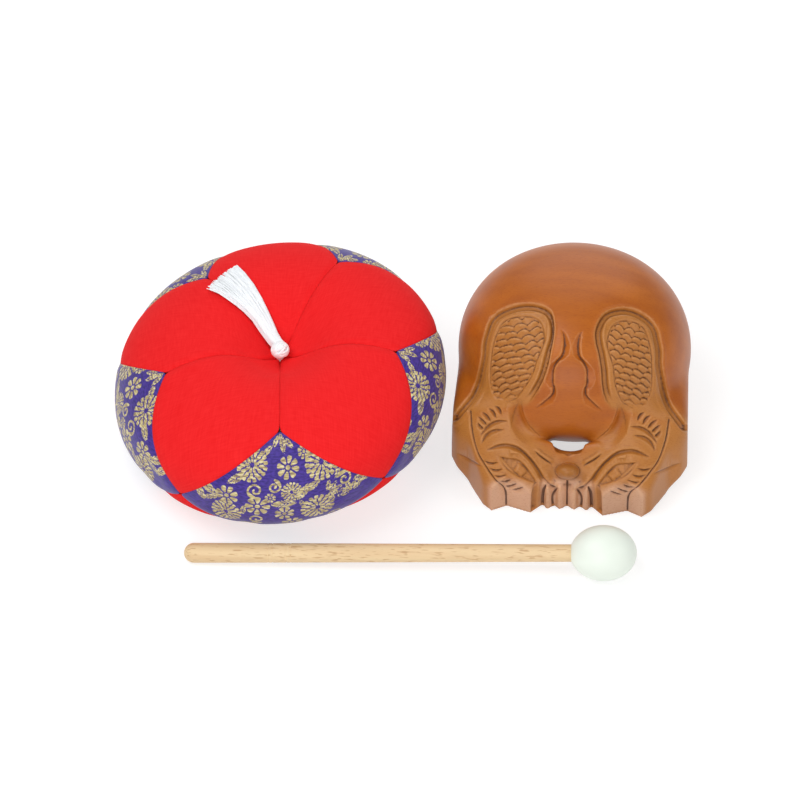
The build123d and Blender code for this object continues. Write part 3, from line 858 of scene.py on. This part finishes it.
def turn_between(first, second, share):
    """Directions evenly turned from one to another."""
    angle = np.arccos(np.clip(np.sum(first * second, -1), -1, 1))[..., None]
    share = np.asarray(share)[..., None]
    return (np.sin((1 - share) * angle) * first + np.sin(share * angle) * second) / np.sin(angle)


def unit(x, y, z):
    return np.array((x, y, z)) / sqrt(x * x + y * y + z * z)


def seam_corner(angle, below):
    """Direction of a corner where the radial seams end, on the top or below."""
    rise = cushion_face(SEAM_CORNER, TUFT_DEPTH, TUFT_SPREAD)
    if below:
        rise = -cushion_face(SEAM_CORNER, BASE_TUFT_DEPTH, BASE_TUFT_SPREAD)
    return unit(SEAM_CORNER * cos(radians(angle)), SEAM_CORNER * sin(radians(angle)), rise)


def rim_tip(angle):
    """Direction of a corner on the rim, where the panels' points meet."""
    return unit(cos(radians(angle)), sin(radians(angle)), -TIP_DROP / CUSHION_RADIUS)


def panel_corners():
    """Each panel's name and its four corners, round it from the one nearest the axis or the top."""
    turns = [*SEAM_HEADINGS, SEAM_HEADINGS[0] + 360, SEAM_HEADINGS[1] + 360]
    tips = [(turns[i] + turns[i + 1]) / 2 for i in range(len(SEAM_HEADINGS) + 1)]
    panels = {}
    for i in range(len(SEAM_HEADINGS)):
        tip, next_tip = rim_tip(tips[i]), rim_tip(tips[i + 1])
        top, under = ([seam_corner(turn, below) for turn in turns[i : i + 2]] for below in (False, True))
        panels[f"top_petal_{i + 1}"] = (unit(0, 0, 1), top[0], tip, top[1])
        panels[f"base_petal_{i + 1}"] = (unit(0, 0, -1), under[1], tip, under[0])
        panels[f"brocade_panel_{i + 1}"] = (top[1], tip, under[1], next_tip)
    return panels


RADIAL_SEAM_DRAWN = (2.4, 0.5)
RIM_SEAM_DRAWN = 0.3
PANEL_PUFF = 0.6
ON_SEAM = 1e-4
CLOTH = {
    "quality": 6, "mass": 0.2, "tension_stiffness": 12, "compression_stiffness": 12, "shear_stiffness": 4,
    "bending_stiffness": 0.5, "shrink_min": -0.01, "vertex_group_mass": "seams", "use_pressure": True,
    "uniform_pressure_force": 2.5,
}
PUFFING_FRAMES = 22
CLOTH_THICKNESS = 1.0


def lay_panel(name, corners, number):
    """A flat grid of cloth laid on the cover between its corners, drawn in along its seams."""
    pick()
    steps = PANEL_STEPS
    bpy.ops.mesh.primitive_grid_add(x_subdivisions=steps, y_subdivisions=steps, size=2, location=(0, 0, 0))
    piece = named(name)
    grid = points_of(piece) * MM
    u, v = (grid[:, 0] + 1) / 2, (grid[:, 1] + 1) / 2
    a, b, c, d = (np.broadcast_to(corner, (len(u), 3)) for corner in corners)
    ways = turn_between(turn_between(a, b, u), turn_between(d, c, u), v)
    edge = np.minimum.reduce([u, 1 - u, v, 1 - v]) < ON_SEAM
    drawn = np.full(len(u), RIM_SEAM_DRAWN)
    if "petal" in name:
        share = np.maximum(u, v)
        radial = np.minimum(u, v) < ON_SEAM
        middle, end = RADIAL_SEAM_DRAWN
        drawn = np.where(radial, middle + (end - middle) * share, drawn)
        corner = (share > 1 - ON_SEAM) & radial
        drawn = np.where(corner, RIM_SEAM_DRAWN, drawn)
    puff = PANEL_PUFF * np.sin(pi * u) * np.sin(pi * v)
    reach = cover_reach(ways) - np.where(edge, drawn, -puff)
    set_points(piece, CUSHION_AT + ways * reach[:, None])
    group = piece.vertex_groups.new(name="seams")
    group.add([int(i) for i in np.nonzero(edge)[0]], 1.0, "REPLACE")
    layer = piece.data.attributes.new("panel", "INT", "FACE")
    layer.data.foreach_set("value", np.full(len(piece.data.polygons), number, np.int32))
    return piece


def puff_cover(cover):
    """Fill the cover: its seams are held, and the cloth between them swells."""
    pick(cover)
    modifier = cover.modifiers.new("Cloth", "CLOTH")
    for setting, value in CLOTH.items():
        setattr(modifier.settings, setting, value)
    modifier.settings.effector_weights.gravity = 0
    modifier.point_cache.frame_start = 1
    modifier.point_cache.frame_end = PUFFING_FRAMES + 2
    for step in range(PUFFING_FRAMES):
        bpy.context.scene.frame_set(step + 1)
    bpy.ops.object.modifier_apply(modifier=modifier.name)
    bpy.context.scene.frame_set(1)


def lean_and_seat(points):
    """The filling has slid, so one side is higher. The cushion is flat only where it rests on the table."""
    height = points[:, 2] + LEAN * ((points[:, :2] - CUSHION_AT[:2]) @ LEAN_WAY)
    height = np.where(height < SEAT_SOFTNESS, SEAT_SOFTNESS * np.exp(height / SEAT_SOFTNESS - 1), height)
    return np.column_stack((points[:, :2], height))


def unroll(piece, flat):
    """Keep where each point lies on the cloth before sewing, in millimetres."""
    layer = piece.data.uv_layers.new(name="unrolled")
    corner = np.empty(len(piece.data.loops), np.int32)
    piece.data.loops.foreach_get("vertex_index", corner)
    layer.data.foreach_set("uv", flat[corner].astype(np.float32).ravel())


def petals_of(ring, angle, petals, inner, outer):
    """A ring of petals round a flower, with dark gaps between them."""
    blade = np.abs(np.sin(petals * angle / 2))
    width = np.sqrt(np.clip(1 - ((ring - (inner + outer) / 2) / ((outer - inner) / 2)) ** 2, 0, 1))
    return np.clip((blade * width - 0.42) * 4 + 0.5, 0, 1) * (ring > inner) * (ring < outer)


def daisy(s, t, size):
    ring, angle = np.hypot(s, t) / size, np.arctan2(t, s)
    heart = np.clip((0.2 - ring) * 8 + 0.5, 0, 1)
    return np.maximum(heart, petals_of(ring, angle, 8, 0.28, 1.0))


def chrysanthemum(s, t, size):
    ring, angle = np.hypot(s, t) / size, np.arctan2(t, s)
    bloom = np.maximum(petals_of(ring, angle, 9, 0.12, 0.46), petals_of(ring, angle + 0.3, 13, 0.42, 0.76))
    return np.maximum(bloom, petals_of(ring, angle, 17, 0.7, 1.0))


def leaf(s, t, size):
    half = 0.36 * size * (1 - np.clip(np.abs(s) / size, 0, 1) ** 2)
    body = np.clip((half - np.abs(t)) / 0.4 + 0.5, 0, 1) * (np.abs(s) < size)
    vein = np.abs(t) < 0.16
    ribs = np.abs(np.mod(s / 1.5 + np.abs(t) / 1.2, 1) - 0.5) < 0.12
    return np.where(vein | ribs, body * 0.2, body)


def leaf_fan(s, t, size):
    fan = np.zeros(s.shape)
    for turn in (-70, -35, 0, 35, 70):
        c, d = cos(radians(turn + 90)), sin(radians(turn + 90))
        x, y = s * c + t * d, -s * d + t * c
        blade = size * (1 if turn else 1.1)
        fan = np.maximum(fan, leaf(x - 0.55 * blade, y, 0.5 * blade))
    return fan


def scroll(s, t, size):
    """A tendril that curls in on itself."""
    turn = np.linspace(0, 2.7 * pi, 60)
    radius = size * (0.16 + 0.84 * turn / turn[-1])
    curl = np.column_stack((radius * np.cos(turn), radius * np.sin(turn)))
    tail = curl[-1] + np.outer(np.linspace(0, 1, 8)[1:], (1.1 * size, -0.2 * size))
    line = np.concatenate((curl, tail))
    at = (np.hypot(s, t) < 2.6 * size).nonzero()[0]
    mark = np.zeros(s.shape)
    away = along_line(s[at], t[at], line)[0]
    mark[at] = np.clip((0.45 - away) / 0.3 + 0.5, 0, 1)
    return mark


MOTIFS = (
    (leaf, -2.0, -4.6, 3.6, 60), (leaf, 1.6, -6.0, 4.4, -80), (leaf, 4.8, -5.8, 3.6, -45),
    (leaf, 0.4, -2.8, 2.2, 90), (chrysanthemum, -13.0, -15.0, 7.6, 0), (leaf, -6.4, -8.8, 3.8, 45),
    (leaf, -19.5, -21.5, 5.0, 35), (daisy, 3.9, -16.2, 5.4, 10), (chrysanthemum, 19.6, -16.8, 8.0, 20),
    (daisy, 12.2, -10.4, 3.4, 0), (scroll, -10.5, -26.2, 3.9, 150), (scroll, -2.4, -24.4, 3.2, -40),
    (daisy, -23.0, -30.5, 5.4, 0), (daisy, -9.4, -34.6, 5.6, 20), (chrysanthemum, 5.2, -27.4, 4.8, 0),
    (leaf, 1.6, -33.4, 5.8, 0), (leaf, 10.2, -28.2, 5.0, 55), (leaf, 14.0, -26.2, 4.8, 30),
    (leaf_fan, 20.5, -31.5, 6.4, -80), (scroll, 28.6, -27.4, 3.8, 20), (scroll, 37.4, -24.6, 3.8, 60),
    (leaf, -31.5, -29.0, 5.8, -25), (leaf, -35.5, -32.5, 5.4, -55), (leaf, -30.5, -33.8, 4.4, 15),
    (chrysanthemum, -23.3, -41.0, 7.0, 0), (chrysanthemum, 16.2, -39.0, 7.6, 0),
    (daisy, 2.0, -39.6, 4.4, 0), (leaf_fan, 31.5, -36.0, 6.6, 20), (scroll, -9.6, -43.6, 3.8, 170),
    (scroll, 29.0, -19.2, 3.2, -40), (daisy, -39.5, -24.6, 4.4, 0), (scroll, -31.0, -20.6, 3.6, 200),
    (daisy, 5.4, -48.6, 5.0, 0), (leaf, -14.0, -50.0, 5.4, 20), (scroll, 25.0, -49.0, 3.8, 150),
    (leaf, 36.5, -31.0, 4.6, -30), (leaf, -15.6, -37.6, 3.6, 80), (leaf, 9.6, -34.6, 3.2, -70),
    (daisy, -4.0, -29.8, 2.6, 0), (leaf, 26.0, -23.4, 3.4, 60),
)


def figured(s, t, panel):
    """The brocade's figures at each point: flowers, leaves and tendrils, mirrored on every other panel."""
    mark = np.zeros(s.shape)
    mirrored = 1 if panel % 2 else -1
    for draw, s0, t0, size, turn in MOTIFS:
        c, d = cos(radians(turn)), sin(radians(turn))
        x, y = mirrored * s - s0, t - t0
        mark = np.maximum(mark, draw(x * c + y * d, -x * d + y * c, size))
    return mark


def side_arc(rise):
    """Length along the cover's side from its equator up to an angle of rise, in millimetres."""
    angles = np.linspace(-1.4, 1.4, 281)
    ways = np.column_stack((np.cos(angles), np.zeros(len(angles)), np.sin(angles)))
    places = ways * cover_reach(ways)[:, None]
    arcs = np.concatenate(([0], np.cumsum(np.linalg.norm(np.diff(places, axis=0), axis=1))))
    return np.interp(rise, angles, arcs - arcs[len(arcs) // 2])


corner_rise = np.arctan2(cushion_face(SEAM_CORNER, TUFT_DEPTH, TUFT_SPREAD), SEAM_CORNER)
UNROLLED_WIDTH = 0.97
PETAL_SPREAD = 60


def sew_cushion():
    """Fifteen panels of cloth, puffed by the filling between their seams."""
    panels = panel_corners()
    pieces = [lay_panel(name, corners, number) for number, (name, corners) in enumerate(panels.items())]
    join(*pieces)
    cover = named("cushion_cover")
    with editing(cover):
        bpy.ops.mesh.remove_doubles(threshold=0.05 * MM)
        bpy.ops.mesh.normals_make_consistent(inside=False)
    puff_cover(cover)
    for number, name in enumerate(panels):
        cut_panel(cover, number, name)
    bpy.data.objects.remove(cover)


def cut_panel(cover, number, name):
    """One panel of the puffed cover: smoothed, given its thickness, unrolled, figured and set down."""
    piece = copied(cover)
    panel = np.empty(len(piece.data.polygons), np.int32)
    piece.data.attributes["panel"].data.foreach_get("value", panel)
    pick(piece)
    bpy.ops.object.mode_set(mode="EDIT")
    bpy.ops.mesh.select_mode(type="FACE")
    bpy.ops.mesh.select_all(action="DESELECT")
    bpy.ops.object.mode_set(mode="OBJECT")
    piece.data.polygons.foreach_set("select", panel != number)
    bpy.ops.object.mode_set(mode="EDIT")
    bpy.ops.mesh.delete(type="FACE")
    bpy.ops.object.mode_set(mode="OBJECT")
    is_brocade = name.startswith("brocade")
    levels = 3 if is_brocade else 2
    shape(piece, "SUBSURF", levels=levels, render_levels=levels)
    shape(piece, "SOLIDIFY", thickness=CLOTH_THICKNESS * MM, offset=-1)
    points = points_of(piece)
    ways = points - CUSHION_AT
    heading = np.arctan2(ways[:, 1], ways[:, 0])
    level = np.hypot(ways[:, 0], ways[:, 1])
    rise = np.arctan2(ways[:, 2], level)
    if is_brocade:
        middle = radians(SEAM_HEADINGS[int(name[-1]) % len(SEAM_HEADINGS)])
        across = np.mod(heading - middle + pi, 2 * pi) - pi
        flat = np.column_stack(
            (across * UNROLLED_WIDTH * CUSHION_RADIUS, side_arc(rise) - side_arc(corner_rise))
        )
        store(piece, "figure", figured(flat[:, 0], flat[:, 1], int(name[-1])))
    else:
        spread = (pi / 2 - np.abs(rise)) * PETAL_SPREAD
        flat = np.column_stack((spread * np.cos(heading), spread * np.sin(heading)))
    unroll(piece, flat)
    set_points(piece, lean_and_seat(points))
    shade_smooth(piece)
    piece.name = piece.data.name = name + "_cloth"
    slot = "brocade" if is_brocade else "red_cloth"
    settle(piece, BROCADE if is_brocade else RED, "cushion", slot, name)


FILLING_INSET = 6
FILLING_LOWEST = 2.0


def stuff_cushion():
    """The cotton filling, a little inside the cover."""
    pick()
    bpy.ops.mesh.primitive_uv_sphere_add(segments=64, ring_count=32, radius=1, location=(0, 0, 0))
    filling = named("cotton_stuffing")
    ways = points_of(filling) * MM
    ways /= np.linalg.norm(ways, axis=1)[:, None]
    points = CUSHION_AT + ways * (cover_reach(ways) - FILLING_INSET)[:, None]
    points = lean_and_seat(points)
    points[:, 2] = np.maximum(points[:, 2], FILLING_LOWEST)
    set_points(filling, points)
    shade_smooth(filling)
    settle(filling, FILLING, "cushion", "cotton_filling", "stuffing")


sew_cushion()
stuff_cushion()

# Tassel

TASSEL_LEFT = (
    (-1.6, -0.6), (-6.7, 5.4), (-12.2, 11.9), (-17.9, 16.4), (-23.7, 20.5), (-28.6, 24.8), (-34.3, 28.7),
)
TASSEL_RIGHT = (
    (3.0, 2.2), (0.0, 6.4), (-2.8, 11.6), (-5.8, 16.8), (-10.2, 24.2), (-15.6, 33.2), (-21.6, 42.6),
)
STRANDS, STRAND_RADIUS, STRAND_STEPS = 260, 0.24, 9
KNOT_THREAD_RADIUS, KNOT_CORE = 0.75, 0.9
KNOT_TURNS, KNOT_STEPS = 11, 400


def cushion_top(x, y):
    """Height of the leaning cushion's top at a place measured from its axis."""
    height = CUSHION_AT[2] + float(cushion_face(np.array(hypot(x, y)), TUFT_DEPTH, TUFT_SPREAD))
    return height + LEAN * (x * LEAN_WAY[0] + y * LEAN_WAY[1])


def thread_curve(name, paths, radius, resolution):
    """Threads along paths of points in millimetres, as one mesh."""
    curve = bpy.data.curves.new(name, "CURVE")
    curve.dimensions = "3D"
    curve.bevel_depth = radius * MM
    curve.bevel_resolution = resolution
    curve.use_fill_caps = True
    for path in paths:
        spline = curve.splines.new("POLY")
        spline.points.add(len(path) - 1)
        places = np.column_stack((np.array(path) * MM, np.ones(len(path))))
        spline.points.foreach_set("co", places.ravel())
    threads = bpy.data.objects.new(name, curve)
    bpy.context.scene.collection.objects.link(threads)
    pick(threads)
    bpy.ops.object.convert(target="MESH")
    piece = named(name)
    shade_smooth(piece)
    return piece


def make_tassel():
    """A skirt of cotton strands, bound together at the knot, fanning out over the cushion's shoulder."""
    chance = np.random.default_rng(7)
    left, right = smooth_line(TASSEL_LEFT, 4), smooth_line(TASSEL_RIGHT, 4)
    paths = []
    for _ in range(STRANDS):
        across = chance.uniform(-1, 1)
        layer = chance.uniform(0, 1) ** 0.7
        end = 0.95 + 0.07 * chance.random() + 0.02 * across
        wander = chance.normal(0, 0.05)
        path = []
        for t in np.linspace(0, 1, STRAND_STEPS) * end:
            at = min(t, 1) * (len(left) - 1)
            row = min(int(at), len(left) - 2)
            start = left[row] + (left[row + 1] - left[row]) * (at - row)
            stop = right[row] + (right[row + 1] - right[row]) * (at - row)
            share = 0.5 + 0.5 * np.clip(across + wander * t * t, -1.04, 1.04)
            x, y = start + (stop - start) * share
            thickness = (3.6 - 1.9 * t) * sqrt(max(1 - across**2, 0.04))
            rise = 1.6 * (1 - ease(0, 0.25, t)) + 1.6
            z = cushion_top(x, y) + rise + layer * thickness
            path.append((CUSHION_AT[0] + x, CUSHION_AT[1] + y, z))
        paths.append(path)
    skirt = thread_curve("tassel_strands", paths, STRAND_RADIUS, 0)
    settle(skirt, THREAD, "tassel", "white_thread", "tassel_skirt")


def wind_knot(name, node, seed):
    """A knot of thread: one strand wound round and round into a ball."""
    low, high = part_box(node)
    middle = (np.array(low) + np.array(high)) / 2 / MM
    radius = (high.x - low.x) / 2 / MM - 0.6
    turn = np.linspace(0, 2 * KNOT_TURNS * pi, KNOT_STEPS)
    tilt = 0.9 * np.sin(turn * 0.137 + seed) + 0.4
    swing = turn * 0.071 + seed
    x = np.cos(turn)
    y = np.sin(turn) * np.cos(tilt)
    z = np.sin(turn) * np.sin(tilt) * 0.86
    c, d = np.cos(swing), np.sin(swing)
    path = np.column_stack((x * c - y * d, x * d + y * c, z))
    knot = thread_curve(name, [middle + radius * path], KNOT_THREAD_RADIUS, 1)
    pick()
    core = KNOT_CORE * radius * MM
    bpy.ops.mesh.primitive_uv_sphere_add(segments=24, ring_count=12, radius=core, location=middle * MM)
    bpy.ops.object.transform_apply(location=True, rotation=False, scale=False)
    bpy.ops.object.shade_smooth()
    join(knot, bpy.context.active_object)
    settle(knot, THREAD, "cushion", "white_thread", node)


make_tassel()
wind_knot("tassel_wound_knot", "tassel_knot", 0.0)
wind_knot("base_wound_knot", "base_knot", 1.3)
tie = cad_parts["tie_cord"]
tie.data.materials.clear()
tie.data.materials.append(THREAD)

# Camera, light and floor

SHEET_WIDTH = 0.3534
CAMERA_AWAY = 10.0
CAMERA_TURN = radians(3.4)
CAMERA_LIFT = radians(47)
SENSOR_WIDTH = 36
camera_target = Vector((-0.0771, 0.0013, 0))
camera_data = bpy.data.cameras.new("camera")
camera_data.sensor_width = SENSOR_WIDTH
camera_data.lens = SENSOR_WIDTH * CAMERA_AWAY / SHEET_WIDTH
camera = bpy.data.objects.new("camera", camera_data)
bpy.context.scene.collection.objects.link(camera)
level = cos(CAMERA_LIFT)
towards = Vector((sin(CAMERA_TURN) * level, -cos(CAMERA_TURN) * level, sin(CAMERA_LIFT)))
camera.location = camera_target + towards * CAMERA_AWAY
camera.rotation_euler = towards.to_track_quat("Z", "Y").to_euler()
bpy.context.scene.camera = camera


LIGHT_AIM = Vector((-0.06, 0, 0.03))
ROOM_LIGHT = 0.4
PAPER_GLOW = 0.66


def softbox(name, place, size, power):
    """A round soft lamp that looks at the set."""
    lamp = bpy.data.lights.new(name, "AREA")
    lamp.shape = "DISK"
    lamp.size = size
    lamp.energy = power
    holder = bpy.data.objects.new(name, lamp)
    holder.location = place
    holder.rotation_euler = (Vector(place) - LIGHT_AIM).to_track_quat("Z", "Y").to_euler()
    bpy.context.scene.collection.objects.link(holder)


softbox("key_softbox", (-0.55, -0.25, 1.1), 0.9, 6.6)
softbox("fill_softbox", (0.9, -0.5, 0.8), 0.8, 2.8)
softbox("front_softbox", (-0.1, -1.1, 0.5), 0.8, 4.0)
softbox("back_softbox", (0.0, 1.1, 0.75), 1.2, 5.0)


def light_room():
    """A white room: even light from all round."""
    world = bpy.data.worlds.new("white_room")
    world.use_nodes = True
    world.node_tree.nodes.clear()
    glow = add(world, "Background", {"Color": (1, 1, 1, 1), "Strength": ROOM_LIGHT})
    add(world, "OutputWorld", {"Surface": glow})
    bpy.context.scene.world = world


def lay_floor():
    """White paper sweep: lit paper, with its white held up where it is seen, mirrored or shows through."""
    pick()
    bpy.ops.mesh.primitive_plane_add(size=12, location=(0, 0, 0))
    floor = named("paper_floor")
    m = new_material("white_paper")
    path = add(m, "LightPath").node.outputs
    seen = path["Is Camera Ray"]
    for ray in ("Is Glossy Ray", "Is Transmission Ray"):
        seen = add(m, "Math", {0: seen, 1: path[ray]}, operation="MAXIMUM")
    lift = add(m, "Math", {0: seen, 1: PAPER_GLOW}, operation="MULTIPLY")
    glow = add(m, "Emission", {"Color": (1, 1, 1, 1), "Strength": lift})
    whites = {0: seen, 6: linear("#F4F4F4"), 7: linear("#B4B4B4")}
    white = add(m, "Mix", whites, data_type="RGBA", out=2)
    paper = add(m, "BsdfDiffuse", {"Color": white})
    add(m, "OutputMaterial", {"Surface": add(m, "AddShader", {0: glow, 1: paper})})
    floor.data.materials.append(m)


light_room()
lay_floor()
bpy.context.scene.view_settings.view_transform = "Standard"
